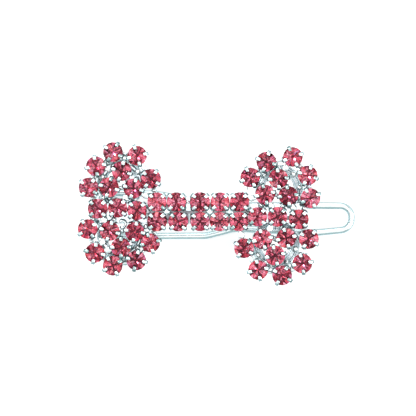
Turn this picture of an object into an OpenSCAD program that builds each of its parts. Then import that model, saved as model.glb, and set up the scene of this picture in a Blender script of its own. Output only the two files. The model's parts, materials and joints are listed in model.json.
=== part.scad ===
// Rhinestone hair clip, shaped like a bone, lying on its back with its stones facing up.
// The wire arm stays on the table and the jewelled top opens from it like a lid, about a hinge at the left end.
// +X runs along the clip towards the finger loop, +Z out of the stones. Origin: under the middle of the clip.

/* [Stones] */
// Diameter of a round stone
stone_d = 3; // [2.8:0.1:3]
// Diameter of the flat table on top of a stone
table_d = 1.6; // [1.4:0.1:1.7]
// Height of the crown above the girdle
crown_h = 0.5; // [0.4:0.1:0.5]
// Depth of the pavilion below the girdle
pavilion_h = 1.2; // [1.1:0.1:1.2]
// Thickness of the girdle
girdle_t = 0.1; // [0.05:0.05:0.1]

/* [Claw cups] */
// Radius of a cup's wall
cup_r = 1.42; // [1.4:0.01:1.42]
// Radius of a cup's foot
foot_r = 1.15; // [1.05:0.05:1.2]
// Height of a cup's wall
cup_h = 1.1; // [1:0.05:1.1]
// Width of a claw
claw_w = 0.45; // [0.35:0.05:0.45]
// Reach of a claw's back from the cup's centre
claw_r = 1.8; // [1.78:0.01:1.82]
// Thickness of a claw
claw_t = 0.28; // [0.2:0.02:0.28]

/* [Layout] */
// Distance of the shaft's centre line from the middle of the clip
shaft_y = 0.3; // [0.2:0.1:0.4]
// Distance between the shaft's centre line and each of its two rows of stones
row_y = 1.58; // [1.51:0.01:1.6]
// Middle of the left head, measured along the clip
left_x = -15.75; // [-15.95:0.1:-15.55]
// Middle of the right head, measured along the clip
right_x = 9.65; // [9.45:0.1:9.85]

/* [Base strip] */
// Height of the strip's upper face, which the cups stand on
deck_z = 6.6; // [6.2:0.1:7]
// Thickness of the strip and of the ring wires
strip_t = 0.6; // [0.5:0.1:0.7]
// Width of the strip
strip_w = 3.4; // [3:0.1:3.6]
// Right-hand end of the strip
strip_end_x = 14.35; // [13:0.05:15]
// Middle radius of the ring wire under a lobe
ring_r = 3.1; // [3.05:0.05:3.2]
// Width of the flattened ring wire
ring_w = 1.6; // [1.5:0.1:1.7]

/* [Hinge and wire arm] */
// Diameter of the arm's wire
wire_d = 1.1; // [1:0.05:1.2]
// Radial clearance between the wire and the knuckle's bore
hinge_gap = 0.05; // [0.02:0.01:0.08]
// Outer radius of the rolled knuckle
knuckle_r = 1.1; // [1.05:0.05:1.2]
// Place of the hinge axis along the clip
hinge_x = -19.15; // [-19.35:0.1:-18.95]
// Clearance at each side of the catch, inside the arm's neck
catch_gap = 0.05; // [0.03:0.01:0.1]

/* [Hidden] */
$fn = 48;

// Lobes: centre from the shaft's line, then [angle, radius] of each stone of the outer arc. A cup faces outwards,
// or is turned a little from that by a third number, so that its claws pass the next cup's.
LEFT_UPPER = [left_x + 0.3, 4.6];
LEFT_LOWER = [left_x + 0.3, -3.8];
RIGHT_UPPER = [right_x + 0.3, 3.7];
RIGHT_LOWER = [right_x - 0.3, -5.3];

LEFT_UPPER_ARC = [[188, 5.2], [146, 4.8], [104, 5.1], [59, 5.1], [8, 4.9]];
LEFT_LOWER_ARC = [[169, 5.4], [214, 5], [255, 5], [302, 4.7], [346, 4.9, -15]];
RIGHT_UPPER_ARC = [[159, 5], [116, 4.8], [67, 5.5], [25, 5], [343, 5.2]];
RIGHT_LOWER_ARC = [[186, 5.1, 5], [235, 4.9], [282, 5], [325, 5.2], [10, 5.4]];

// Triangle inside each lobe: [angle, radius, turn of the cup].
LEFT_UPPER_TRIANGLE = [[200, 2, 30], [86, 1.9, 30], [337, 2.2, 30]];
LEFT_LOWER_TRIANGLE = [[158, 1.9, 30], [270, 1.9, -45], [15, 2.3, 35]];
RIGHT_UPPER_TRIANGLE = [[202, 2.5, -32], [96, 1.6, -40], [321, 1.8, -40]];
RIGHT_LOWER_TRIANGLE = [[157, 2.3, -32], [267, 1.7, -32], [33, 2, -32]];

// Middle rows of the heads and the two rows of the shaft, as places from the shaft's line.
LEFT_MIDDLE = [[left_x - 3.4, 0.5], [left_x - 0.2, 0.6], [left_x + 2.9, 0.2]];
RIGHT_MIDDLE = [[right_x - 3.2, -0.8], [right_x, -0.8], [right_x + 3.4, -1.2]];
SHAFT_UPPER = [for (x = [-9.65, -6.55, -2.75, 0.45, 3.55]) [x, row_y]];
SHAFT_LOWER = [for (x = [-9.65, -6.25, -2.75, 0.35, 3.45]) [x, -row_y]];

// Levels and radii inside a cup, from its foot.
floor_t = 0.14;
wall_break_z = 0.5;
seat_clearance = 0.05;
culet_r = 0.1;
girdle_z = 1.4;
claw_root = 0.15;
claw_foot_z = 0.55;
claw_knee_z = 0.95;
claw_inner_z = 1.15;
claw_shoulder_z = 1.6;
claw_tip_r = 1.12;
claw_tip_l = 0.13;
claw_tip_z = 1.86;
claw_rise = 0.05;
claw_depth = 0.1;
stone_r = stone_d / 2;
girdle_top_z = girdle_z + girdle_t;
table_z = girdle_top_z + crown_h;
culet_z = girdle_z - pavilion_h;
seat_r = culet_r + (stone_r - culet_r) * (cup_h - culet_z) / pavilion_h + seat_clearance;

// The strip lies a little below the shaft's line, midway between the arm's legs.
strip_y0 = -1.9;
strip_y1 = strip_y0 + strip_w;
cut_margin = 5;
bend_r = 1.4;
web_inset = 0.05;
web_x = hinge_x - knuckle_r + web_inset;
hinge_z = knuckle_r;
wire_r = wire_d / 2;

// The arm's wire from one inturned end to the other: corner and bend radius. Its legs come closest at the neck.
loop_x = 21.8;
neck_x = 2.85;
neck_y = -2.7;
ARM = [
    [[hinge_x, 0.1], 0],
    [[hinge_x, 3.1], 1.2],
    [[-10.15, 2.9], 12],
    [[1.35, 1.1], 12],
    [[loop_x, 0.95], 1.8],
    [[loop_x, -2.85], 1.9],
    [[16.05, -3.4], 8],
    [[neck_x, neck_y], 5],
    [[-1.75, -3.9], 5],
    [[hinge_x, -4], 1.2],
    [[hinge_x, -0.5], 0]
];
joint_l = 0.05;
joint_step = 0.005;
arm_tilt = asin((hinge_z - wire_r) / (loop_x - hinge_x));

// The catch stands in the arm's neck, between the middle lines of the two legs there.
neck_low_y = neck_y - 0.06;
neck_high_y = 1.05;
catch_t = 0.6;
catch_y0 = neck_low_y + wire_r + catch_gap;
catch_y1 = neck_high_y - wire_r - catch_gap;
catch_foot_z = 0.4;
catch_foot_l = 3;
catch_foot_t = 0.5;

link_r = 0.2;
link_z = 0.3;
solder_r = 3.3;
solder_h = 0.42;
solder_foot_r = 0.6;
solder_top_r = 0.3;

// Small parts soldered on the strip and on a ring, as places from the shaft's line.
curl_r = 0.5;
curl_wire_r = 0.2;
curl_turn = 250;
curl_start = -120;
CURL = [-15.35, -2, 0.2];
BAR = [-4.6, -2.6, 0];
bar_size = [0.2, 2.3, 1.3];
TAB = [-5.1, 0.1, 0];
tab_size = [0.9, 2.5, 0.9];

function polar(p) = p[1] * [cos(p[0]), sin(p[0])];
function places(centre, list) = [for (p = list) centre + polar(p)];
function outward(list) = [for (p = list) p[0] + (len(p) > 2 ? p[2] : 0)];
function turned(list) = [for (p = list) p[2]];
function square_on(list) = [for (p = list) 0];
function heading(v) = atan2(v[1], v[0]);
function unit(v) = v / norm(v);

// Angle that the wire turns through at corner i, and how far before the corner the bend starts.
function bend(i) = let (a = unit(ARM[i][0] - ARM[i - 1][0]), b = unit(ARM[i + 1][0] - ARM[i][0]))
    atan2(a[0] * b[1] - a[1] * b[0], a * b);
function is_corner(i) = i > 0 && i < len(ARM) - 1;
function cutback(i) = is_corner(i) ? ARM[i][1] * tan(abs(bend(i)) / 2) : 0;

module silver() {
    color([0.86, 0.89, 0.9]) children();
}

module above_deck() {
    translate([0, shaft_y, deck_z]) children();
}

module stone() {
    rotate_extrude() polygon([
        [0, culet_z], [culet_r, culet_z], [stone_r, girdle_z], [stone_r, girdle_top_z],
        [table_d / 2, table_z], [0, table_z]
    ]);
}

module stones(centres) {
    color([0.83, 0.22, 0.33]) above_deck() for (c = centres) translate(c) stone();
}

module claw() {
    back_r = claw_r;
    front_r = claw_r - claw_t;
    rotate([90, 0, 0]) linear_extrude(claw_w, center = true) polygon([
        [cup_r - claw_root, claw_foot_z], [cup_r + claw_root, claw_foot_z],
        [back_r, claw_knee_z], [back_r, claw_shoulder_z],
        [claw_tip_r + claw_tip_l, table_z + claw_rise], [claw_tip_r, table_z], [claw_tip_r, claw_tip_z],
        [front_r, girdle_top_z + claw_rise], [front_r, claw_inner_z], [cup_r - claw_root, cup_h - claw_depth]
    ]);
}

module pan() {
    rotate_extrude() polygon([
        [0, 0], [foot_r, 0], [cup_r, wall_break_z], [cup_r, cup_h], [seat_r, cup_h],
        [culet_r + seat_clearance, floor_t], [0, floor_t]
    ]);
}

module cup() {
    pan();
    for (a = [45:90:315]) rotate(a) claw();
}

module cups(centres, angles) {
    silver() above_deck() for (i = [0:len(centres) - 1]) translate(centres[i]) rotate(angles[i]) cup();
}

// Footprint of the strip on the deck, longer and taller than the strip itself, to cut the ring wires against.
module strip_band() {
    translate([web_x - cut_margin, strip_y0, -strip_t - 1])
        cube([strip_end_x - web_x + 2 * cut_margin, strip_w, strip_t + 2]);
}

module ring(centre) {
    silver() above_deck() difference() {
        translate([centre[0], centre[1], -strip_t]) rotate_extrude()
            translate([ring_r - ring_w / 2, 0]) square([ring_w, strip_t]);
        strip_band();
    }
}

// Solid outline of a cup without its claws, to cut links and solder against.
module cup_body() {
    cylinder(r1 = foot_r, r2 = cup_r, h = wall_break_z);
    translate([0, 0, wall_break_z]) cylinder(r = cup_r, h = 1);
}

// Short wires from each cup of an outer arc to the next, cut to the round of the cups' walls.
module links(centres) {
    silver() above_deck() for (i = [0:len(centres) - 2]) difference() {
        span = centres[i + 1] - centres[i];
        translate([centres[i][0], centres[i][1], link_z]) rotate([0, 90, heading(span)])
            cylinder(r = link_r, h = norm(span));
        for (c = [centres[i], centres[i + 1]]) translate(c) cup_body();
    }
}

// Drops of solder on a ring wire, halfway between neighbouring cups of the outer arc.
module solder(centre, arc, triangle) {
    difference() {
        for (i = [0:len(arc) - 2]) {
            step = (arc[i + 1][0] - arc[i][0] + 540) % 360 - 180;
            translate(centre + polar([arc[i][0] + step / 2, solder_r]))
                cylinder(r1 = solder_foot_r, r2 = solder_top_r, h = solder_h);
        }
        for (c = places(centre, triangle)) translate([c[0], c[1], -1]) cylinder(r = cup_r, h = 3);
    }
}

// One straight stretch of the arm's wire, a hair thinner than the bends and let a little way into them.
module arm_stretch(i) {
    from = ARM[i][0];
    to = ARM[i + 1][0];
    start = cutback(i) - (is_corner(i) ? joint_l : 0);
    end = cutback(i + 1) - (is_corner(i + 1) ? joint_l : 0);
    translate(from + unit(to - from) * start) rotate([0, 90, heading(to - from)])
        cylinder(r = wire_r - joint_step, h = norm(to - from) - start - end);
}

// The bend at corner i: part of a ring whose centre is to the left or right of the wire.
module arm_bend(i) {
    r = ARM[i][1];
    into = unit(ARM[i][0] - ARM[i - 1][0]);
    side = bend(i) > 0 ? 1 : -1;
    centre = ARM[i][0] - into * cutback(i) + side * r * [-into[1], into[0]];
    first = heading(into) - side * 90;
    translate(centre) rotate(side > 0 ? first : first + bend(i)) rotate_extrude(angle = abs(bend(i)))
        translate([r, 0]) circle(wire_r);
}

module wire_arm() {
    silver() translate([hinge_x, shaft_y, hinge_z]) rotate([0, arm_tilt, 0]) translate([-hinge_x, 0, 0]) {
        for (i = [0:len(ARM) - 2]) arm_stretch(i);
        for (i = [1:len(ARM) - 2]) arm_bend(i);
    }
}

// The strip seen from its long side: flat deck, rounded bend, upright web and rolled knuckle.
module strip_side() {
    translate([web_x + bend_r, deck_z - strip_t]) square([strip_end_x - web_x - bend_r, strip_t]);
    translate([web_x + bend_r, deck_z - bend_r]) intersection() {
        difference() {
            circle(bend_r);
            circle(bend_r - strip_t);
        }
        translate([-bend_r, 0]) square(bend_r);
    }
    translate([web_x, hinge_z]) square([strip_t, deck_z - bend_r - hinge_z]);
    translate([hinge_x, hinge_z]) circle(knuckle_r);
}

module base_strip() {
    silver() translate([0, shaft_y + strip_y1, 0]) difference() {
        rotate([90, 0, 0]) linear_extrude(strip_w) strip_side();
        translate([hinge_x, 1, hinge_z]) rotate([90, 0, 0]) cylinder(r = wire_r + hinge_gap, h = strip_w + 2);
    }
}

// An angle piece soldered under the strip, whose tongue stands between the legs of the arm's neck.
module catch() {
    w = catch_y1 - catch_y0;
    silver() translate([neck_x - catch_t / 2, shaft_y + catch_y0, 0]) {
        translate([0, 0, catch_foot_z]) cube([catch_t, w, deck_z - strip_t - catch_foot_z]);
        translate([0, 0, deck_z - strip_t - catch_foot_t]) cube([catch_foot_l, w, catch_foot_t]);
    }
}

module left_upper_ring() { ring(LEFT_UPPER); }
module left_lower_ring() { ring(LEFT_LOWER); }
module right_upper_ring() { ring(RIGHT_UPPER); }
module right_lower_ring() { ring(RIGHT_LOWER); }

module left_upper_arc_cups() { cups(places(LEFT_UPPER, LEFT_UPPER_ARC), outward(LEFT_UPPER_ARC)); }
module left_lower_arc_cups() { cups(places(LEFT_LOWER, LEFT_LOWER_ARC), outward(LEFT_LOWER_ARC)); }
module right_upper_arc_cups() { cups(places(RIGHT_UPPER, RIGHT_UPPER_ARC), outward(RIGHT_UPPER_ARC)); }
module right_lower_arc_cups() { cups(places(RIGHT_LOWER, RIGHT_LOWER_ARC), outward(RIGHT_LOWER_ARC)); }

module triangle_cups(centre, triangle) {
    cups(places(centre, triangle), turned(triangle));
}

module left_upper_triangle_cups() { triangle_cups(LEFT_UPPER, LEFT_UPPER_TRIANGLE); }
module left_lower_triangle_cups() { triangle_cups(LEFT_LOWER, LEFT_LOWER_TRIANGLE); }
module right_upper_triangle_cups() { triangle_cups(RIGHT_UPPER, RIGHT_UPPER_TRIANGLE); }
module right_lower_triangle_cups() { triangle_cups(RIGHT_LOWER, RIGHT_LOWER_TRIANGLE); }

module left_middle_cups() { cups(LEFT_MIDDLE, square_on(LEFT_MIDDLE)); }
module right_middle_cups() { cups(RIGHT_MIDDLE, square_on(RIGHT_MIDDLE)); }
module shaft_upper_cups() { cups(SHAFT_UPPER, square_on(SHAFT_UPPER)); }
module shaft_lower_cups() { cups(SHAFT_LOWER, square_on(SHAFT_LOWER)); }

module left_upper_arc_stones() { stones(places(LEFT_UPPER, LEFT_UPPER_ARC)); }
module left_lower_arc_stones() { stones(places(LEFT_LOWER, LEFT_LOWER_ARC)); }
module right_upper_arc_stones() { stones(places(RIGHT_UPPER, RIGHT_UPPER_ARC)); }
module right_lower_arc_stones() { stones(places(RIGHT_LOWER, RIGHT_LOWER_ARC)); }
module left_upper_triangle_stones() { stones(places(LEFT_UPPER, LEFT_UPPER_TRIANGLE)); }
module left_lower_triangle_stones() { stones(places(LEFT_LOWER, LEFT_LOWER_TRIANGLE)); }
module right_upper_triangle_stones() { stones(places(RIGHT_UPPER, RIGHT_UPPER_TRIANGLE)); }
module right_lower_triangle_stones() { stones(places(RIGHT_LOWER, RIGHT_LOWER_TRIANGLE)); }
module left_middle_stones() { stones(LEFT_MIDDLE); }
module right_middle_stones() { stones(RIGHT_MIDDLE); }
module shaft_upper_stones() { stones(SHAFT_UPPER); }
module shaft_lower_stones() { stones(SHAFT_LOWER); }

module left_upper_links() { links(places(LEFT_UPPER, LEFT_UPPER_ARC)); }
module left_lower_links() { links(places(LEFT_LOWER, LEFT_LOWER_ARC)); }
module right_upper_links() { links(places(RIGHT_UPPER, RIGHT_UPPER_ARC)); }
module right_lower_links() { links(places(RIGHT_LOWER, RIGHT_LOWER_ARC)); }

module left_solder() {
    silver() above_deck() {
        solder(LEFT_UPPER, LEFT_UPPER_ARC, LEFT_UPPER_TRIANGLE);
        solder(LEFT_LOWER, LEFT_LOWER_ARC, LEFT_LOWER_TRIANGLE);
    }
}

module right_solder() {
    silver() above_deck() {
        solder(RIGHT_UPPER, RIGHT_UPPER_ARC, RIGHT_UPPER_TRIANGLE);
        solder(RIGHT_LOWER, RIGHT_LOWER_ARC, RIGHT_LOWER_TRIANGLE);
    }
}

// A curled end of wire soldered on the left head's lower ring.
module wire_curl() {
    silver() above_deck() translate(CURL) rotate(curl_start) rotate_extrude(angle = curl_turn)
        translate([curl_r, 0]) circle(curl_wire_r);
}

// A thin bar and a wider tab fill the gap between the shaft's second and third columns.
module spacer_bar() {
    silver() above_deck() translate(BAR) cube(bar_size);
}

module spacer_tab() {
    silver() above_deck() translate(TAB) cube(tab_size);
}

wire_arm();
base_strip();
catch();
left_upper_ring();
left_lower_ring();
right_upper_ring();
right_lower_ring();
left_upper_arc_cups();
left_lower_arc_cups();
right_upper_arc_cups();
right_lower_arc_cups();
left_upper_triangle_cups();
left_lower_triangle_cups();
right_upper_triangle_cups();
right_lower_triangle_cups();
left_middle_cups();
right_middle_cups();
shaft_upper_cups();
shaft_lower_cups();
left_upper_arc_stones();
left_lower_arc_stones();
right_upper_arc_stones();
right_lower_arc_stones();
left_upper_triangle_stones();
left_lower_triangle_stones();
right_upper_triangle_stones();
right_lower_triangle_stones();
left_middle_stones();
right_middle_stones();
shaft_upper_stones();
shaft_lower_stones();
left_upper_links();
left_lower_links();
right_upper_links();
right_lower_links();
left_solder();
right_solder();
wire_curl();
spacer_bar();
spacer_tab();
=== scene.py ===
"""Rhinestone hair clip: faceted rose chatons in silver claw cups, on ring wires and a strip over a hinged wire arm."""

import json
import math
import random

import bmesh
import bpy
from mathutils import Matrix, Vector, noise


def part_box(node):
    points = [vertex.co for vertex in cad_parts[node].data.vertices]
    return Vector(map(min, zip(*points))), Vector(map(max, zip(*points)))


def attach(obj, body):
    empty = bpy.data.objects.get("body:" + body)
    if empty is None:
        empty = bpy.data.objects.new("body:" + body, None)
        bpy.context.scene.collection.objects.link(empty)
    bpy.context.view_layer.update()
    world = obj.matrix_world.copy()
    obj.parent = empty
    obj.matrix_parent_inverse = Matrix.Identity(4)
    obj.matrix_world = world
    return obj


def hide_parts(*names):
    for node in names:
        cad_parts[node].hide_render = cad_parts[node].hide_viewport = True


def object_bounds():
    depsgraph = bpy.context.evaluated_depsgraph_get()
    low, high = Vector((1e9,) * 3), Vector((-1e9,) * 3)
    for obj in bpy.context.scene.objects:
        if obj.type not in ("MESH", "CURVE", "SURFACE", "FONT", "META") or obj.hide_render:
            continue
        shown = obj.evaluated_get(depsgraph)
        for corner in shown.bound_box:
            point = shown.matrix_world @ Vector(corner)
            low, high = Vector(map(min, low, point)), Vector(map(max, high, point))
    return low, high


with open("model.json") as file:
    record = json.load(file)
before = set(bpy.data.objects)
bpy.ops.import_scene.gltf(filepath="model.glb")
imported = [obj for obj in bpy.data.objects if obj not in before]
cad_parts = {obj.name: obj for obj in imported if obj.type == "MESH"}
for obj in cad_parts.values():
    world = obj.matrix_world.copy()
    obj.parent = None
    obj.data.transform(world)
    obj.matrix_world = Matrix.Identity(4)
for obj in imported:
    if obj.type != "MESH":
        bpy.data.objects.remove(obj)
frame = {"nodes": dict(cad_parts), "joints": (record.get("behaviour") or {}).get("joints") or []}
CAD_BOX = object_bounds()
MM = 0.001

# Levels inside a cup, from its foot, as in the solids.
GIRDLE_Z = 1.4 * MM
GIRDLE_T = 0.1 * MM
TABLE_Z = 2.0 * MM
CULET_Z = 0.2 * MM
STONE_R = 1.5 * MM
WIDEST_R = 1.6 * MM
# How far the stone's dark heart, a painted shade at its middle, reaches along its main facets.
HEART_SHARE = 0.4
TABLE_R = 0.8 * MM

STONE_NODES = sorted(n for n in frame["nodes"] if n.endswith("_stones"))
CUP_NODES = sorted(n for n in frame["nodes"] if n.endswith("_cups"))
SOLDER_NODES = ("left_solder", "right_solder")
LINK_NODES = sorted(n for n in frame["nodes"] if n.endswith("_links"))
DECK_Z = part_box("base_strip")[1][2]


# ---------------------------------------------------------------- frame helpers


def islands(node):
    """The separate solids of a CAD node, each as a list of its points."""
    work = bmesh.new()
    work.from_mesh(frame["nodes"][node].data)
    bmesh.ops.remove_doubles(work, verts=work.verts, dist=1e-7)
    found = []
    left = set(work.verts)
    while left:
        stack = [left.pop()]
        solid = []
        while stack:
            v = stack.pop()
            solid.append(v.co.copy())
            for e in v.link_edges:
                other = e.other_vert(v)
                if other in left:
                    left.remove(other)
                    stack.append(other)
        found.append(solid)
    work.free()
    return found


def middle(points):
    low = [min(p[i] for p in points) for i in range(3)]
    high = [max(p[i] for p in points) for i in range(3)]
    return Vector([(a + b) / 2 for a, b in zip(low, high)])


def claw_angle(points, centre):
    """The angle of a cup's claws, from the points that stand furthest from its middle."""
    reach = max((p.xy - centre.xy).length for p in points)
    total = complex(0, 0)
    for p in points:
        d = p.xy - centre.xy
        if d.length > 0.97 * reach:
            a = math.atan2(d.y, d.x)
            total += complex(math.cos(4 * a), math.sin(4 * a))
    return math.atan2(total.imag, total.real) / 4


# ---------------------------------------------------------------- mesh helpers


def add_piece(name, bm, materials, node=None, body="top", smooth=True):
    mesh = bpy.data.meshes.new(name)
    bmesh.ops.recalc_face_normals(bm, faces=bm.faces)
    bm.to_mesh(mesh)
    bm.free()
    for m in materials:
        mesh.materials.append(m)
    for p in mesh.polygons:
        p.use_smooth = smooth
    piece = bpy.data.objects.new(name, mesh)
    bpy.context.scene.collection.objects.link(piece)
    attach(piece, body)
    if node:
        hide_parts(*([node] if isinstance(node, str) else node))
    return piece


def sweep(bm, centres, frames, section, closed_ends=True):
    """Joins one ring of section points per centre. frames holds (side, up, width, height) of each ring."""
    rings = []
    for c, (side, up, w, h) in zip(centres, frames):
        rings.append([bm.verts.new(c + side * (x * w) + up * (y * h)) for x, y in section])
    n = len(section)
    for a, b in zip(rings, rings[1:]):
        for i in range(n):
            bm.faces.new((a[i], a[(i + 1) % n], b[(i + 1) % n], b[i]))
    if closed_ends:
        bm.faces.new(rings[0])
        bm.faces.new(list(reversed(rings[-1])))


def circle_section(sides):
    return [(math.cos(2 * math.pi * i / sides), math.sin(2 * math.pi * i / sides)) for i in range(sides)]


def tube(bm, points, radius, sides=20, round_ends=True):
    """A round wire along the points. Its ends are domed."""
    directions = []
    for i in range(len(points)):
        before = points[max(i - 1, 0)]
        after = points[min(i + 1, len(points) - 1)]
        directions.append((after - before).normalized())
    centres = list(points)
    radii = [radius] * len(points)
    if round_ends:
        steps = (0.35, 0.75, 0.95)
        head = [points[0] - directions[0] * radius * (s - 0.35) for s in reversed(steps)]
        tail = [points[-1] + directions[-1] * radius * (s - 0.35) for s in steps]
        ends = [radius * math.sqrt(max(1 - s * s, 0.02)) for s in steps]
        centres = head + centres[1:-1] + tail
        radii = list(reversed(ends)) + radii[1:-1] + ends
        directions = [directions[0]] * 3 + directions[1:-1] + [directions[-1]] * 3
    up = Vector((0, 0, 1))
    if abs(directions[0].dot(up)) > 0.9:
        up = Vector((0, 1, 0))
    frames = []
    for d, r in zip(directions, radii):
        side = d.cross(up).normalized()
        up = side.cross(d).normalized()
        frames.append((side, up, r, r))
    sweep(bm, centres, frames, circle_section(sides))


def spline(points, steps):
    """Catmull-Rom curve through 2D points, as a list of (point, direction)."""
    out = []
    padded = [points[0]] + list(points) + [points[-1]]
    for i in range(1, len(padded) - 2):
        a, b, c, d = (Vector(p) for p in padded[i - 1:i + 3])
        for s in range(steps):
            t = s / steps
            out.append(0.5 * (2 * b + (c - a) * t + (2 * a - 5 * b + 4 * c - d) * t * t
                              + (3 * b - a - 3 * c + d) * t ** 3))
    out.append(Vector(points[-1]))
    return out


# ---------------------------------------------------------------- materials


def new_material(name):
    material = bpy.data.materials.new(name)
    material.use_nodes = True
    tree = material.node_tree
    return material, tree, tree.nodes["Principled BSDF"]


def coordinates(tree):
    return tree.nodes.new("ShaderNodeTexCoord").outputs["Object"]


def noise_node(tree, scale, detail=3.0, roughness=0.5):
    node = tree.nodes.new("ShaderNodeTexNoise")
    node.inputs["Scale"].default_value = scale
    node.inputs["Detail"].default_value = detail
    node.inputs["Roughness"].default_value = roughness
    tree.links.new(coordinates(tree), node.inputs["Vector"])
    return node.outputs["Fac"]


def ramp(tree, source, stops):
    node = tree.nodes.new("ShaderNodeValToRGB")
    elements = node.color_ramp.elements
    while len(elements) < len(stops):
        elements.new(0.5)
    for e, (place, colour) in zip(elements, stops):
        e.position = place
        e.color = (*colour, 1)
    tree.links.new(source, node.inputs["Fac"])
    return node.outputs["Color"]


def multiplied(tree, first, second):
    node = tree.nodes.new("ShaderNodeMix")
    node.data_type = "RGBA"
    node.blend_type = "MULTIPLY"
    node.inputs["Factor"].default_value = 1.0
    tree.links.new(first, node.inputs["A"])
    tree.links.new(second, node.inputs["B"])
    return node.outputs["Result"]


def value_range(tree, source, low, high, source_low=0.3, source_high=0.7):
    node = tree.nodes.new("ShaderNodeMapRange")
    node.inputs["From Min"].default_value = source_low
    node.inputs["From Max"].default_value = source_high
    node.inputs["To Min"].default_value = low
    node.inputs["To Max"].default_value = high
    tree.links.new(source, node.inputs["Value"])
    return node.outputs["Result"]


def bump(tree, source, strength, distance):
    node = tree.nodes.new("ShaderNodeBump")
    node.inputs["Strength"].default_value = strength
    node.inputs["Distance"].default_value = distance
    tree.links.new(source, node.inputs["Height"])
    return node.outputs["Normal"]


# Painted shade: ramps over how much a surface faces the view, white where it faces it and dark teal where it turns
# away, so edges get painted dark outlines.
CLAW_PAINTED_EDGE_SHADE = [(0.14, (1, 1, 1)), (0.34, (0.62, 0.77, 0.79)), (0.60, (0.10, 0.18, 0.20))]
SOFT_PAINTED_EDGE_SHADE = [(0.30, (1, 1, 1)), (0.60, (0.80, 0.89, 0.91)), (0.95, (0.36, 0.48, 0.50))]
WIRE_PAINTED_EDGE_SHADE = [(0.12, (1, 1, 1)), (0.30, (0.70, 0.83, 0.85)), (0.60, (0.36, 0.48, 0.50))]


def claw_shade(tree):
    """Painted shade on each claw and cup: some claws, picked at random, get a darker painted reflection, and everything
    darkens towards the deck as painted shade low down between the cups.
    """
    shade = tree.nodes.new("ShaderNodeAttribute")
    shade.attribute_name = "shade"
    # Painted reflection: a low value darkens a claw to grey teal.
    own = ramp(tree, shade.outputs["Fac"], [(0.0, (0.30, 0.42, 0.41)), (1.0, (1, 1, 1))])
    split = tree.nodes.new("ShaderNodeSeparateXYZ")
    tree.links.new(coordinates(tree), split.inputs[0])
    # Painted shade: darker low down, towards the deck, where the cups crowd each other.
    height = value_range(tree, split.outputs["Z"], 0.0, 1.0, DECK_Z, DECK_Z + 1.3 * MM)
    return multiplied(tree, own, ramp(tree, height, [(0.0, (0.55, 0.62, 0.63)), (0.8, (1, 1, 1))]))


def deck_shade(tree):
    """Painted shade: the strip's upper face is darker under the shaft, where the shaft's cups crowd it."""
    split = tree.nodes.new("ShaderNodeSeparateXYZ")
    tree.links.new(coordinates(tree), split.inputs[0])
    off_middle = tree.nodes.new("ShaderNodeMath")
    off_middle.operation = "ABSOLUTE"
    tree.links.new(value_range(tree, split.outputs["X"], -1.0, 1.0, -11.6 * MM, 5.6 * MM), off_middle.inputs[0])
    inside = value_range(tree, off_middle.outputs[0], 1.0, 0.0, 0.92, 0.99)
    level = value_range(tree, split.outputs["Z"], 0.0, 1.0, DECK_Z - 0.12 * MM, DECK_Z - 0.03 * MM)
    both = tree.nodes.new("ShaderNodeMath")
    both.operation = "MULTIPLY"
    tree.links.new(inside, both.inputs[0])
    tree.links.new(level, both.inputs[1])
    # Painted shade, dark grey under the shaft.
    return ramp(tree, both.outputs[0], [(0.0, (1, 1, 1)), (1.0, (0.30, 0.27, 0.28))])


def silver(name, dark, light, rough, wave, strength, edge=CLAW_PAINTED_EDGE_SHADE, metallic=1.0, shade=None):
    """Bright plating: colour, roughness and surface that vary a little over the metal, with painted shade that darkens
    it where it turns away from the view.
    """
    material, tree, shader = new_material(name)
    shader.inputs["Metallic"].default_value = metallic
    patches = noise_node(tree, 900, 4)
    face = ramp(tree, patches, [(0.35, dark), (0.62, light)])
    if shade:
        face = multiplied(tree, face, shade(tree))
    # Painted shade at the edges, darker where the surface turns away from the view.
    weight = tree.nodes.new("ShaderNodeLayerWeight")
    weight.inputs["Blend"].default_value = 0.5
    painted_edge_shade = ramp(tree, weight.outputs["Facing"], edge)
    tree.links.new(multiplied(tree, face, painted_edge_shade), shader.inputs["Base Color"])
    grain = noise_node(tree, 2600, 5, 0.6)
    tree.links.new(value_range(tree, grain, *rough), shader.inputs["Roughness"])
    swell = noise_node(tree, wave, 3)
    tree.links.new(bump(tree, swell, strength, 0.05 * MM), shader.inputs["Normal"])
    return material


def crystal():
    """The clear rose glass of crown and girdle."""
    material, tree, shader = new_material("rose_crystal")
    shader.inputs["Transmission Weight"].default_value = 1.0
    shader.inputs["IOR"].default_value = 1.58
    shader.inputs["Specular IOR Level"].default_value = 0.2
    shader.inputs["Specular Tint"].default_value = (0.95, 0.30, 0.40, 1)
    body = noise_node(tree, 400, 2)
    colours = ramp(tree, body, [(0.3, (0.68, 0.41, 0.475)), (0.7, (0.76, 0.49, 0.55))])
    tree.links.new(colours, shader.inputs["Base Color"])
    wear = noise_node(tree, 5000, 4, 0.7)
    tree.links.new(value_range(tree, wear, 0.0, 0.03), shader.inputs["Roughness"])
    return material


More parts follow.
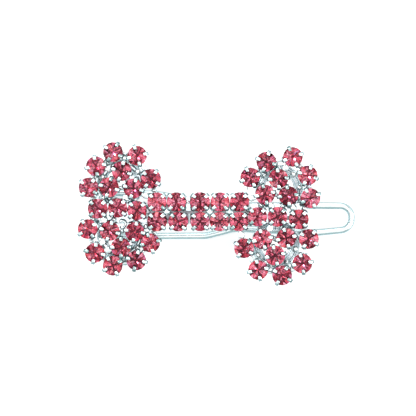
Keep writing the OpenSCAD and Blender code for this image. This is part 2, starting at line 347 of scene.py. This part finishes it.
def foil():
    """The mirrored back of a stone, with painted reflections: each facet gets its own painted tone, and painted shade
    darkens it towards the point.
    """
    material, tree, shader = new_material("rose_foil")
    shader.inputs["Metallic"].default_value = 1.0
    tone = tree.nodes.new("ShaderNodeAttribute")
    tone.attribute_name = "tone"
    # Painted reflections: the tone runs from near black through rose to near white.
    colours = ramp(tree, tone.outputs["Fac"], [
        (0.0, (0.10, 0.012, 0.03)), (0.22, (0.46, 0.10, 0.15)), (0.36, (0.76, 0.26, 0.27)), (0.5, (0.84, 0.34, 0.43)),
        (0.75, (0.98, 0.56, 0.66)), (1.0, (1.0, 0.93, 0.96))])
    # Painted coloured glints: some facets are tinted orange or violet, standing in for the fire of dispersed light.
    hue = tree.nodes.new("ShaderNodeAttribute")
    hue.attribute_name = "hue"
    painted_fire = ramp(tree, hue.outputs["Fac"], [
        (0.70, (1, 1, 1)), (0.74, (1.0, 0.86, 0.72)), (0.86, (1.0, 0.90, 0.80)), (0.92, (0.94, 0.90, 1.0)),
        (1.0, (0.70, 0.70, 1.0))])
    tree.links.new(multiplied(tree, colours, painted_fire), shader.inputs["Base Color"])
    wear = noise_node(tree, 3000, 3)
    tree.links.new(value_range(tree, wear, 0.04, 0.16), shader.inputs["Roughness"])
    return material


CUP_SILVER = silver("cup_silver", (0.60, 0.69, 0.70), (0.82, 0.89, 0.89), (0.10, 0.24), 1500, 0.5, shade=claw_shade)
STRIP_SILVER = silver("strip_silver", (0.70, 0.80, 0.84), (0.84, 0.91, 0.93), (0.08, 0.16), 500, 0.15, SOFT_PAINTED_EDGE_SHADE,
                      shade=deck_shade)
PLATE_SILVER = silver("plate_silver", (0.70, 0.80, 0.84), (0.84, 0.91, 0.93), (0.08, 0.16), 500, 0.15, SOFT_PAINTED_EDGE_SHADE)
WIRE_SILVER = silver("wire_silver", (0.70, 0.79, 0.80), (0.80, 0.86, 0.86), (0.10, 0.20), 450, 0.2, WIRE_PAINTED_EDGE_SHADE)
SOLDER_SILVER = silver("solder_silver", (0.74, 0.84, 0.85), (0.93, 0.97, 0.97), (0.12, 0.28), 1800, 0.8, SOFT_PAINTED_EDGE_SHADE, 0.8)
CRYSTAL = crystal()
FOIL = foil()


# ---------------------------------------------------------------- stones


def stone_facets():
    """Points and faces of one chaton, standing on its cup's foot. Each face is (corners, material, tone group)."""
    points = []

    def ring(radius, z, first, count):
        start = len(points)
        for i in range(count):
            a = first + 2 * math.pi * i / count
            points.append(Vector((radius * math.cos(a), radius * math.sin(a), z)))
        return list(range(start, start + count))

    eighth = math.pi / 8
    table = ring(TABLE_R, TABLE_Z, eighth, 8)
    upper = ring(STONE_R, GIRDLE_Z + GIRDLE_T, eighth / 2, 16)
    lower = ring(STONE_R, GIRDLE_Z, eighth / 2, 16)
    slope = (GIRDLE_Z - CULET_Z) / STONE_R
    mid_r = 0.48 * STONE_R
    # The main facet at angle t is a plane from the culet to the girdle at t. Its side corners lie an eighth off.
    mid_z = CULET_Z + mid_r * math.cos(eighth) * slope
    mid = ring(mid_r, mid_z, 1.5 * eighth, 8)
    culet = len(points)
    points.append(Vector((0, 0, CULET_Z)))
    heart = list(range(culet + 1, culet + 9))
    points += [points[culet].lerp(points[m], HEART_SHARE) for m in mid]

    faces = [(table, 0, 0)]
    for i in range(8):
        j = (i + 1) % 8
        # Table corner i is at (2 i + 1) eighths. Girdle point k is at (k + 0.5) eighths.
        k = 2 * i
        faces.append(([table[i], upper[k], upper[(k + 1) % 16]], 0, 0))
        faces.append(([table[i], upper[(k + 1) % 16], upper[(k + 2) % 16], table[j]], 0, 0))
    for k in range(16):
        n = (k + 1) % 16
        faces.append(([upper[k], lower[k], lower[n], upper[n]], 0, 0))
    for i in range(8):
        # Mid point i is at (2 i + 1.5) eighths, level with girdle point 2 i + 1.
        before = (i - 1) % 8
        main = lower[2 * i]
        faces.append(([culet, heart[before], heart[i]], 1, 1))
        faces.append(([heart[before], mid[before], main], 1, 2))
        faces.append(([heart[before], main, heart[i]], 1, 2))
        faces.append(([heart[i], main, mid[i]], 1, 2))
        faces.append(([mid[i], main, lower[2 * i + 1]], 1, 2))
        faces.append(([mid[i], lower[2 * i + 1], lower[(2 * i + 2) % 16]], 1, 2))
    return points, faces


STONE_POINTS, STONE_FACES = stone_facets()


def facet_painted_reflection(rng):
    """Painted reflections: most facets are of a middling tone; some are painted dark, and some flash with a painted
    near-white glint.
    """
    kind = rng.random()
    if kind < 0.30:
        return rng.uniform(0.0, 0.22)
    if kind < 0.74:
        return rng.uniform(0.38, 0.72)
    return rng.uniform(0.82, 1.0)


def add_stone(bm, layer, hue, centre, radii, rng):
    turn = Matrix.Rotation(rng.uniform(0, math.pi / 4), 4, "Z")
    lean_axis = Vector((math.cos(rng.uniform(0, 6.28)), math.sin(rng.uniform(0, 6.28)), 0))
    pivot = Vector((0, 0, GIRDLE_Z))
    lean = Matrix.Rotation(math.radians(rng.uniform(0, 2.5)), 4, lean_axis.normalized())
    wide = Matrix.Diagonal((radii[0] / STONE_R, radii[1] / STONE_R, 1, 1))
    place = Matrix.Translation(centre + pivot) @ lean @ wide @ turn @ Matrix.Translation(-pivot)
    verts = [bm.verts.new(place @ p) for p in STONE_POINTS]
    # Painted shade: on most stones the facets round the point get a dark tone, a painted dark middle standing in for
    # the dark a chaton reflects at its centre.
    heart = rng.choice((0.0, 0.05, 0.12, 0.45))
    for corners, material, group in STONE_FACES:
        f = bm.faces.new([verts[i] for i in corners])
        f.material_index = material
        f[layer] = heart + rng.uniform(0, 0.08) if group == 1 else facet_painted_reflection(rng)
        f[hue] = rng.random()


def make_stones():
    """One piece per stone node. A stone is as wide as its neighbours on each side allow, up to WIDEST_R."""
    rng = random.Random(11)
    centres = {node: [middle(solid) for solid in islands(node)] for node in STONE_NODES}
    everyone = [c for row in centres.values() for c in row]
    for node in STONE_NODES:
        bm = bmesh.new()
        layer = bm.faces.layers.float.new("tone")
        hue = bm.faces.layers.float.new("hue")
        for centre in centres[node]:
            offsets = [(c - centre).xy for c in everyone if c is not centre]
            nearest = min(o.length for o in offsets)
            radius = min(WIDEST_R, nearest / 2)
            beside = min(o.length for o in offsets if abs(o.x) > 0.7 * o.length)
            along_row = min(WIDEST_R, beside / 2, radius * 1.04)
            add_stone(bm, layer, hue, Vector((centre.x, centre.y, DECK_Z)), (along_row, radius), rng)
        add_piece(node + "_cut", bm, [CRYSTAL, FOIL], node, smooth=False)


# ---------------------------------------------------------------- claw cups

# Middle line of a claw, as (distance from the cup's axis, height above its foot), then half widths and half depths.
CLAW_LINE = [(1.22, 0.35), (1.42, 0.62), (1.68, 0.98), (1.75, 1.36), (1.70, 1.70), (1.48, 1.93), (1.12, 2.02)]
CLAW_HALF_W = [0.27, 0.27, 0.28, 0.30, 0.31, 0.30, 0.26]
CLAW_HALF_T = [0.12, 0.12, 0.12, 0.13, 0.14, 0.15, 0.14]
CLAW_SECTION = [(1, 0.55), (0.75, 1), (-0.75, 1), (-1, 0.55), (-1, -0.55), (-0.75, -1), (0.75, -1), (1, -0.55)]
STEPS = 3


def along(values, steps):
    out = []
    for a, b in zip(values, values[1:]):
        out += [a + (b - a) * s / steps for s in range(steps)]
    return out + [values[-1]]


def add_claw(bm, place, rng):
    """One claw in its cup's frame: a strap that rises outside the girdle and folds in over the crown."""
    line = [Vector((r * MM, z * MM)) for r, z in CLAW_LINE]
    line = spline(line, STEPS)
    half_w = [w * MM * rng.uniform(0.94, 1.0) for w in along(CLAW_HALF_W, STEPS)]
    half_t = [t * MM for t in along(CLAW_HALF_T, STEPS)]
    # Three more rings round off the tip.
    ahead = (line[-1] - line[-2]).normalized()
    for reach, share in ((0.05, 0.93), (0.10, 0.75), (0.135, 0.42)):
        line.append(line[-1 - int(reach > 0.06) - int(reach > 0.11)] + ahead * reach * MM)
        half_w.append(CLAW_HALF_W[-1] * MM * share)
        half_t.append(CLAW_HALF_T[-1] * MM * share)
    centres, frames = [], []
    for i, p in enumerate(line):
        d = (line[min(i + 1, len(line) - 1)] - line[max(i - 1, 0)]).normalized()
        centres.append(place @ Vector((p.x, 0, p.y)))
        side = (place.to_3x3() @ Vector((0, 1, 0))).normalized()
        up = (place.to_3x3() @ Vector((-d.y, 0, d.x))).normalized()
        frames.append((side, up, half_w[i], half_t[i]))
    sweep(bm, centres, frames, CLAW_SECTION)


def add_pan(bm, place):
    """The cup's body: squarish, with walls that dip between the claws."""
    count = 32
    profile = [(0.0, 0.0), (0.80, 0.0), (0.86, 0.04), (0.98, 0.52), (1.0, 0.72), (1.0, 0.98), (0.965, 1.0), (0.92, 0.94),
               (0.78, 0.70), (0.12, 0.14), (0.0, 0.14)]
    rings = []
    for share, z in profile:
        if share == 0.0:
            rings.append([bm.verts.new(place @ Vector((0, 0, z * MM)))])
            continue
        ring = []
        for i in range(count):
            a = 2 * math.pi * i / count
            square = (abs(math.cos(a + math.pi / 4)) ** 3 + abs(math.sin(a + math.pi / 4)) ** 3) ** (-1 / 3)
            r = 1.27 * MM * share * (1 + (square - 1) * min(1, share * 1.1))
            dip = 0.16 * (0.5 - 0.5 * math.cos(4 * a)) if z > 0.6 and share > 0.9 else 0
            ring.append(bm.verts.new(place @ Vector((r * math.cos(a), r * math.sin(a), (z - dip) * MM))))
        rings.append(ring)
    for a, b in zip(rings, rings[1:]):
        for i in range(count):
            j = (i + 1) % count
            if len(a) == 1:
                bm.faces.new((a[0], b[j], b[i]))
            elif len(b) == 1:
                bm.faces.new((a[i], a[j], b[0]))
            else:
                bm.faces.new((a[i], a[j], b[j], b[i]))


def mark_new(bm, layer, value):
    """Gives the faces that have no value yet this one. No value is ever zero."""
    for f in bm.faces:
        if f[layer] == 0:
            f[layer] = value


def make_cups():
    rng = random.Random(5)
    found = []
    for node in CUP_NODES:
        bm = bmesh.new()
        shade = bm.faces.layers.float.new("shade")
        for solid in islands(node):
            centre = middle(solid)
            angle = claw_angle(solid, centre)
            base = Vector((centre.x, centre.y, DECK_Z))
            found.append(base)
            add_pan(bm, Matrix.Translation(base) @ Matrix.Rotation(angle, 4, "Z"))
            # The pan gets a slightly darker painted shade value.
            mark_new(bm, shade, 0.8)
            for i in range(4):
                swing = angle + i * math.pi / 2 + rng.uniform(-0.05, 0.05)
                add_claw(bm, Matrix.Translation(base) @ Matrix.Rotation(swing, 4, "Z"), rng)
                # Painted reflection: about a quarter of the claws, picked at random, get a dark value and look grey
                # teal.
                mark_new(bm, shade, rng.uniform(0.85, 1.0) if rng.random() < 0.74 else rng.uniform(0.1, 0.6))
        add_piece(node + "_stamped", bm, [CUP_SILVER], node)
    return found


# ---------------------------------------------------------------- wires, strip and solder


def softened(node, material, width, segments=3):
    """A copy of a CAD node with its edges rounded."""
    bm = bmesh.new()
    bm.from_mesh(frame["nodes"][node].data)
    bmesh.ops.remove_doubles(bm, verts=bm.verts, dist=1e-7)
    bmesh.ops.dissolve_limit(bm, angle_limit=math.radians(1), verts=bm.verts, edges=bm.edges)
    sharp = [e for e in bm.edges if len(e.link_faces) == 2 and e.calc_face_angle(0) > math.radians(35)]
    bmesh.ops.bevel(bm, geom=sharp, offset=width, segments=segments, profile=0.5, affect="EDGES", clamp_overlap=True)
    piece = add_piece(node + "_finished", bm, [material], node)
    return piece


def rounded_section(corner, flatness):
    """A flat bar's section between -1 and 1, with rounded corners. flatness is its width over its thickness."""
    points = []
    for cx, cy, first in ((1, 1, 0), (-1, 1, 90), (-1, -1, 180), (1, -1, 270)):
        for step in range(4):
            a = math.radians(first + 30 * step)
            points.append((cx * (1 - corner / flatness) + corner / flatness * math.cos(a),
                           cy * (1 - corner) + corner * math.sin(a)))
    return points


def make_strip():
    """The strip as one bent sheet: flat deck, bend, upright web, and an edge rolled round the hinge wire."""
    low, high = (Vector(c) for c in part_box("base_strip"))
    hinge = frame["joints"][0]["pos_m"]
    half_t = 0.3 * MM
    bend_r = 1.4 * MM
    left = low.x + 0.05 * MM
    line = []
    length = high.x - left - bend_r
    for share in [0, 0.001, 0.003, 0.006, 0.010, 0.016, 0.024] + [0.05 + 0.95 * s / 34 for s in range(35)]:
        line.append((Vector((high.x - length * share, high.z - half_t)), half_t))
    for s in range(1, 13):
        a = math.pi / 2 * (1 + s / 12)
        r = bend_r - half_t
        line.append((Vector((left + bend_r + r * math.cos(a), high.z - bend_r + r * math.sin(a))), half_t))
    curl_r = 0.86 * MM
    curl_t = 0.235 * MM
    for s in range(1, 12):
        t = s / 12
        top = Vector((left + half_t, high.z - bend_r))
        foot = Vector((hinge[0] - curl_r, hinge[2]))
        ease = t * t * (3 - 2 * t)
        line.append((Vector((top.x + (foot.x - top.x) * ease, top.y + (foot.y - top.y) * t)),
                     half_t + (curl_t - half_t) * ease))
    for s in range(45):
        a = math.radians(180 + 318 * s / 44)
        line.append((Vector((hinge[0] + curl_r * math.cos(a), hinge[2] + curl_r * math.sin(a))), curl_t))
    middle_y = (low.y + high.y) / 2
    half_w = (high.y - low.y) / 2
    centres, frames = [], []
    for i, (p, thick) in enumerate(line):
        d = (line[min(i + 1, len(line) - 1)][0] - line[max(i - 1, 0)][0]).normalized()
        reach = (high.x - p.x) / (0.9 * MM) if i < 12 else 1
        # The free end is rounded off, and the sheet's width wavers by a hair.
        taper = 0.72 + 0.28 * math.sqrt(max(1 - (1 - min(reach, 1)) ** 2, 0))
        waver = 1 - 0.006 * (1 + math.sin(p.x / MM * 1.7))
        centres.append(Vector((p.x, middle_y, p.y)))
        frames.append((Vector((0, 1, 0)), Vector((-d.y, 0, d.x)), half_w * taper * waver, thick))
    bm = bmesh.new()
    sweep(bm, centres, frames, rounded_section(0.5, half_w / half_t))
    add_piece("base_strip_rolled", bm, [STRIP_SILVER], "base_strip")


RING_R = 3.1 * MM
RING_OUT = 3.9 * MM


def ring_arc(centre, radius, z, band):
    """Points along a ring wire, leaving out the part that the strip covers."""
    points = []
    count = 96
    upper = centre.y > (band[0] + band[1]) / 2
    for i in range(count + 1):
        a = 2 * math.pi * i / count + (-math.pi / 2 if upper else math.pi / 2)
        p = Vector((centre.x + radius * math.cos(a), centre.y + radius * math.sin(a), z))
        if not band[0] < p.y < band[1]:
            points.append(p)
    return points


def make_rings():
    """A flat band under each lobe with wires along it: two at the edges on the left, five side by side on the right."""
    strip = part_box("base_strip")
    band = (strip[0][1] + 0.1 * MM, strip[1][1] - 0.1 * MM)
    for node in sorted(n for n in frame["nodes"] if n.endswith("_ring")):
        low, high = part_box(node)
        upper = (low[1] + high[1]) / 2 > (band[0] + band[1]) / 2
        centre = Vector(((low[0] + high[0]) / 2, high[1] - RING_OUT if upper else low[1] + RING_OUT, 0))
        offsets = (-0.64, 0.64) if node.startswith("left") else (-0.64, -0.30, 0.04, 0.38, 0.68)
        bm = bmesh.new()
        line = ring_arc(centre, RING_R, DECK_Z - 0.34 * MM, band)
        frames = []
        for p in line:
            side = Vector((p.x - centre.x, p.y - centre.y, 0)).normalized()
            frames.append((side, Vector((0, 0, 1)), 0.74 * MM, 0.24 * MM))
        sweep(bm, line, frames, [(-1, -1), (1, -1), (1, 1), (-1, 1)])
        for offset in offsets:
            tube(bm, ring_arc(centre, RING_R + offset * MM, DECK_Z - 0.14 * MM, band), 0.15 * MM, 12)
        add_piece(node + "_wires", bm, [PLATE_SILVER], node)


# The arm's corners and bend radii, in millimetres, as in the solids.
HINGE_X = -19.15
LOOP_X = 21.8
ARM = [((HINGE_X, 0.1), 0), ((HINGE_X, 3.1), 1.2), ((-10.15, 2.9), 12), ((1.35, 1.1), 12), ((LOOP_X, 0.95), 1.8),
       ((LOOP_X, -2.85), 1.9), ((16.05, -3.4), 8), ((2.85, -2.7), 5), ((-1.75, -3.9), 5), ((HINGE_X, -4), 1.2),
       ((HINGE_X, -0.5), 0)]
WIRE_R = 0.55 * MM


def arm_line():
    """The arm's middle line in its own flat plane."""
    corners = [Vector(p) for p, _ in ARM]
    line = [corners[0]]
    for i in range(1, len(ARM) - 1):
        radius = ARM[i][1]
        into = (corners[i] - corners[i - 1]).normalized()
        out = (corners[i + 1] - corners[i]).normalized()
        turn = math.atan2(into.x * out.y - into.y * out.x, into.dot(out))
        cut = radius * math.tan(abs(turn) / 2)
        side = 1 if turn > 0 else -1
        centre = corners[i] - into * cut + Vector((-into.y, into.x)) * side * radius
        count = max(3, round(abs(turn) * radius / 0.25))
        start = corners[i] - into * cut - centre
        for s in range(count + 1):
            a = turn * s / count
            arm = Vector((start.x * math.cos(a) - start.y * math.sin(a), start.x * math.sin(a) + start.y * math.cos(a)))
            line.append(centre + arm)
    line.append(corners[-1])
    # Long straight stretches get points too.
    full = [line[0]]
    for p in line[1:]:
        steps = max(1, round((p - full[-1]).length / 0.8))
        first = full[-1]
        full += [first + (p - first) * s / steps for s in range(1, steps + 1)]
    return full


def make_arm():
    hinge = frame["joints"][0]["pos_m"]
    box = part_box("wire_arm")
    shift_y = (box[0][1] + box[1][1]) / 2 - (3.1 - 4) / 2 * MM
    tilt = math.asin((hinge[2] - WIRE_R) / ((LOOP_X - HINGE_X) * MM))
    points = []
    for p in arm_line():
        x = (p.x - HINGE_X) * MM
        points.append(Vector((hinge[0] + x * math.cos(tilt), p.y * MM + shift_y, hinge[2] - x * math.sin(tilt))))
    bm = bmesh.new()
    tube(bm, points, WIRE_R, 24)
    add_piece("wire_arm_bent", bm, [WIRE_SILVER], "wire_arm", body="arm")


def make_links():
    for node in LINK_NODES:
        bm = bmesh.new()
        for solid in islands(node):
            centre = middle(solid)
            far = max(solid, key=lambda p: (p.xy - centre.xy).length)
            axis = Vector((far.x - centre.x, far.y - centre.y, 0)).normalized()
            half = max((p - centre).dot(axis) for p in solid)
            ends = (centre - axis * half, centre, centre + axis * half)
            tube(bm, [e + Vector((0, 0, 0.5 * MM)) for e in ends], 0.21 * MM, 12)
        add_piece(node + "_wires", bm, [SOLDER_SILVER], node)


def add_blob(bm, centre, size, turn, rng):
    """A drop of solder: a rounded lump, wider than it is high."""
    made = bmesh.ops.create_icosphere(bm, subdivisions=3, radius=1.0)
    spin = Matrix.Rotation(turn, 3, "Z")
    seed = Vector((rng.uniform(0, 50), rng.uniform(0, 50), 0))
    for v in made["verts"]:
        lump = 1 + 0.22 * noise.noise(v.co * 1.3 + seed)
        p = Vector((v.co.x * size[0], v.co.y * size[1], v.co.z * size[2])) * lump
        v.co = centre + spin @ p


def make_solder(cups):
    rng = random.Random(3)
    pairs = []
    for i, a in enumerate(cups):
        for b in cups[i + 1:]:
            gap = (b - a).xy.length
            if 3.25 * MM < gap < 4.45 * MM:
                pairs.append((a, b, gap))
    middle_x = sum(c.x for c in cups) / len(cups)
    strip_low, strip_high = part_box("base_strip")
    joints = []
    for node in (n for n in frame["nodes"] if n.endswith("_ring")):
        low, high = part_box(node)
        upper = low[1] > strip_low[1]
        edge = strip_high[1] if upper else strip_low[1]
        for side in (-1, 1):
            centre_y = high[1] - RING_OUT if upper else low[1] + RING_OUT
            reach = math.sqrt(max(RING_R ** 2 - (edge - centre_y) ** 2, 0))
            joints.append(Vector(((low[0] + high[0]) / 2 + side * reach, edge, DECK_Z - 0.35 * MM)))
    foot_low, foot_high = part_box("catch")
    for y in (foot_low[1], foot_high[1]):
        joints.append(Vector((foot_high[0] - 0.9 * MM, y, foot_high[2] - 0.12 * MM)))
    for node in SOLDER_NODES:
        left = node.startswith("left")
        bm = bmesh.new()
        for solid in islands(node):
            c = middle(solid)
            add_blob(bm, Vector((c.x, c.y, DECK_Z + 0.15 * MM)), [0.55 * MM, 0.5 * MM, 0.5 * MM], rng.uniform(0, 3), rng)
        for c in joints:
            if (c.x < middle_x) == left:
                add_blob(bm, c, [0.7 * MM, 0.3 * MM, 0.3 * MM], rng.uniform(-0.2, 0.2), rng)
        for a, b, gap in pairs:
            c = (a + b) / 2
            if (c.x < middle_x) != left:
                continue
            turn = math.atan2(b.y - a.y, b.x - a.x)
            size = [max((gap / 2 - 1.38 * MM) * 0.9, 0.24 * MM), rng.uniform(0.32, 0.52) * MM, rng.uniform(0.4, 0.6) * MM]
            lift = rng.uniform(0.35, 0.75)
            if gap > 4.0 * MM:
                # In a square of four cups the solder lies high and flat, and their claws meet in it.
                size[1] = 0.5 * MM
                size[2] = 0.26 * MM
                lift = rng.uniform(1.3, 1.4)
            add_blob(bm, c + Vector((0, 0, lift * MM)), size, turn, rng)
        add_piece(node + "_drops", bm, [SOLDER_SILVER], node)


def make_curl():
    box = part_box("wire_curl")
    centre = (Vector(box[0]) + Vector(box[1])) / 2
    points = []
    for s in range(15):
        a = math.radians(-120 + 250 * s / 14)
        points.append(centre + Vector((0.54 * math.cos(a), 0.54 * math.sin(a), 0.45 + 0.03 * s)) * MM)
    bm = bmesh.new()
    tube(bm, points, 0.22 * MM, 12)
    add_piece("wire_curl_bent", bm, [WIRE_SILVER], "wire_curl")


# ---------------------------------------------------------------- stage, light and camera


def make_floor():
    material, tree, shader = new_material("floor_white")
    shader.inputs["Base Color"].default_value = (0.9, 0.9, 0.9, 1)
    shader.inputs["Roughness"].default_value = 0.9
    paths = tree.nodes.new("ShaderNodeLightPath")
    seen = tree.nodes.new("ShaderNodeMath")
    seen.operation = "MAXIMUM"
    tree.links.new(paths.outputs["Is Camera Ray"], seen.inputs[0])
    both = tree.nodes.new("ShaderNodeMath")
    both.operation = "MAXIMUM"
    tree.links.new(paths.outputs["Is Glossy Ray"], both.inputs[0])
    tree.links.new(paths.outputs["Is Transmission Ray"], both.inputs[1])
    tree.links.new(both.outputs[0], seen.inputs[1])
    glow = tree.nodes.new("ShaderNodeMath")
    glow.operation = "MULTIPLY"
    glow.inputs[1].default_value = 0.62
    tree.links.new(seen.outputs[0], glow.inputs[0])
    shader.inputs["Emission Color"].default_value = (1, 1, 1, 1)
    tree.links.new(glow.outputs[0], shader.inputs["Emission Strength"])
    # From underneath, the camera looks through the floor at the clip.
    under = tree.nodes.new("ShaderNodeMath")
    under.operation = "MULTIPLY"
    tree.links.new(tree.nodes.new("ShaderNodeNewGeometry").outputs["Backfacing"], under.inputs[0])
    tree.links.new(paths.outputs["Is Camera Ray"], under.inputs[1])
    clear = tree.nodes.new("ShaderNodeBsdfTransparent")
    either = tree.nodes.new("ShaderNodeMixShader")
    tree.links.new(under.outputs[0], either.inputs[0])
    tree.links.new(shader.outputs[0], either.inputs[1])
    tree.links.new(clear.outputs[0], either.inputs[2])
    tree.links.new(either.outputs[0], tree.nodes["Material Output"].inputs["Surface"])
    bm = bmesh.new()
    bmesh.ops.create_circle(bm, cap_ends=True, segments=64, radius=0.6)
    mesh = bpy.data.meshes.new("floor")
    bm.to_mesh(mesh)
    bm.free()
    mesh.materials.append(material)
    floor = bpy.data.objects.new("floor", mesh)
    floor.location.z = CAD_BOX[0][2] - 0.00002
    bpy.context.scene.collection.objects.link(floor)


def make_world():
    """A white room for the camera. Metal and glass see a bright ceiling, grey walls and a few dark bands."""
    world = bpy.data.worlds.new("studio")
    bpy.context.scene.world = world
    world.use_nodes = True
    tree = world.node_tree
    tree.nodes.clear()
    out = tree.nodes.new("ShaderNodeOutputWorld")
    where = tree.nodes.new("ShaderNodeTexCoord")
    split = tree.nodes.new("ShaderNodeSeparateXYZ")
    tree.links.new(where.outputs["Generated"], split.inputs[0])
    height = ramp(tree, split.outputs["Z"], [
        (0.0, (0.40, 0.47, 0.48)), (0.25, (0.70, 0.77, 0.78)), (0.5, (1.0, 1.0, 1.0)), (1.0, (1.0, 1.0, 1.0))])
    bands = tree.nodes.new("ShaderNodeTexNoise")
    bands.inputs["Scale"].default_value = 2.6
    bands.inputs["Detail"].default_value = 1.0
    tree.links.new(where.outputs["Generated"], bands.inputs["Vector"])
    overhead = tree.nodes.new("ShaderNodeMath")
    overhead.operation = "MAXIMUM"
    tree.links.new(bands.outputs["Fac"], overhead.inputs[0])
    tree.links.new(value_range(tree, split.outputs["Z"], 0.0, 1.0, 0.90, 0.97), overhead.inputs[1])
    cards = ramp(tree, overhead.outputs[0], [(0.34, (0.08, 0.11, 0.12)), (0.42, (1, 1, 1))])
    depth = ramp(tree, value_range(tree, split.outputs["Y"], 0.0, 1.0, -1.0, 1.0), [
        (0.06, (0.34, 0.44, 0.45)), (0.32, (1, 1, 1))])
    product = multiplied(tree, multiplied(tree, height, cards), depth)
    reflected = tree.nodes.new("ShaderNodeBackground")
    tree.links.new(product, reflected.inputs["Color"])
    reflected.inputs["Strength"].default_value = 1.5
    plain = tree.nodes.new("ShaderNodeBackground")
    plain.inputs["Color"].default_value = (1, 1, 1, 1)
    plain.inputs["Strength"].default_value = 0.45
    white = tree.nodes.new("ShaderNodeBackground")
    white.inputs["Color"].default_value = (1, 1, 1, 1)
    paths = tree.nodes.new("ShaderNodeLightPath")
    shiny = tree.nodes.new("ShaderNodeMath")
    shiny.operation = "MAXIMUM"
    tree.links.new(paths.outputs["Is Glossy Ray"], shiny.inputs[0])
    tree.links.new(paths.outputs["Is Transmission Ray"], shiny.inputs[1])
    first = tree.nodes.new("ShaderNodeMixShader")
    tree.links.new(shiny.outputs[0], first.inputs[0])
    tree.links.new(plain.outputs[0], first.inputs[1])
    tree.links.new(reflected.outputs[0], first.inputs[2])
    second = tree.nodes.new("ShaderNodeMixShader")
    tree.links.new(paths.outputs["Is Camera Ray"], second.inputs[0])
    tree.links.new(first.outputs[0], second.inputs[1])
    tree.links.new(white.outputs[0], second.inputs[2])
    tree.links.new(second.outputs[0], out.inputs["Surface"])


def make_lamp(name, place, size, power, glint=False):
    light = bpy.data.lights.new(name, "AREA")
    light.shape = "DISK"
    light.size = size
    light.energy = power
    lamp = bpy.data.objects.new(name, light)
    lamp.location = place
    lamp.rotation_euler = (-Vector(place)).to_track_quat("-Z", "Y").to_euler()
    lamp.visible_diffuse = not glint
    bpy.context.scene.collection.objects.link(lamp)


def make_camera():
    camera = bpy.data.cameras.new("camera")
    camera.lens = 300
    camera.sensor_width = 36
    # The picture is 66.5 mm wide at the stones.
    width = 66.5 * MM
    distance = width * camera.lens / camera.sensor_width
    low, high = (Vector(c) for c in CAD_BOX)
    aim = (low + high) / 2 + Vector((-1.47, 0.91, 0)) * MM
    camera.clip_start = 0.005
    holder = bpy.data.objects.new("camera", camera)
    holder.location = (aim.x, aim.y, high.z + distance)
    bpy.context.scene.collection.objects.link(holder)
    bpy.context.scene.camera = holder


make_camera()
make_floor()
make_world()
make_lamp("key", (-0.15, 0.18, 0.30), 0.10, 0.55)
make_lamp("fill", (0.22, -0.10, 0.25), 0.14, 0.35)
make_lamp("glint_left", (-0.30, 0.06, 0.10), 0.12, 0.14, glint=True)
make_lamp("glint_right", (0.30, 0.04, 0.10), 0.10, 0.09, glint=True)
make_lamp("glint_back", (0.02, 0.30, 0.13), 0.11, 0.07, glint=True)

make_stones()
CUPS = make_cups()
make_strip()
softened("catch", PLATE_SILVER, 0.06 * MM)
make_rings()
softened("spacer_bar", PLATE_SILVER, 0.06 * MM)
softened("spacer_tab", PLATE_SILVER, 0.12 * MM)
make_arm()
make_links()
make_solder(CUPS)
make_curl()

bpy.context.scene.view_settings.view_transform = "Standard"
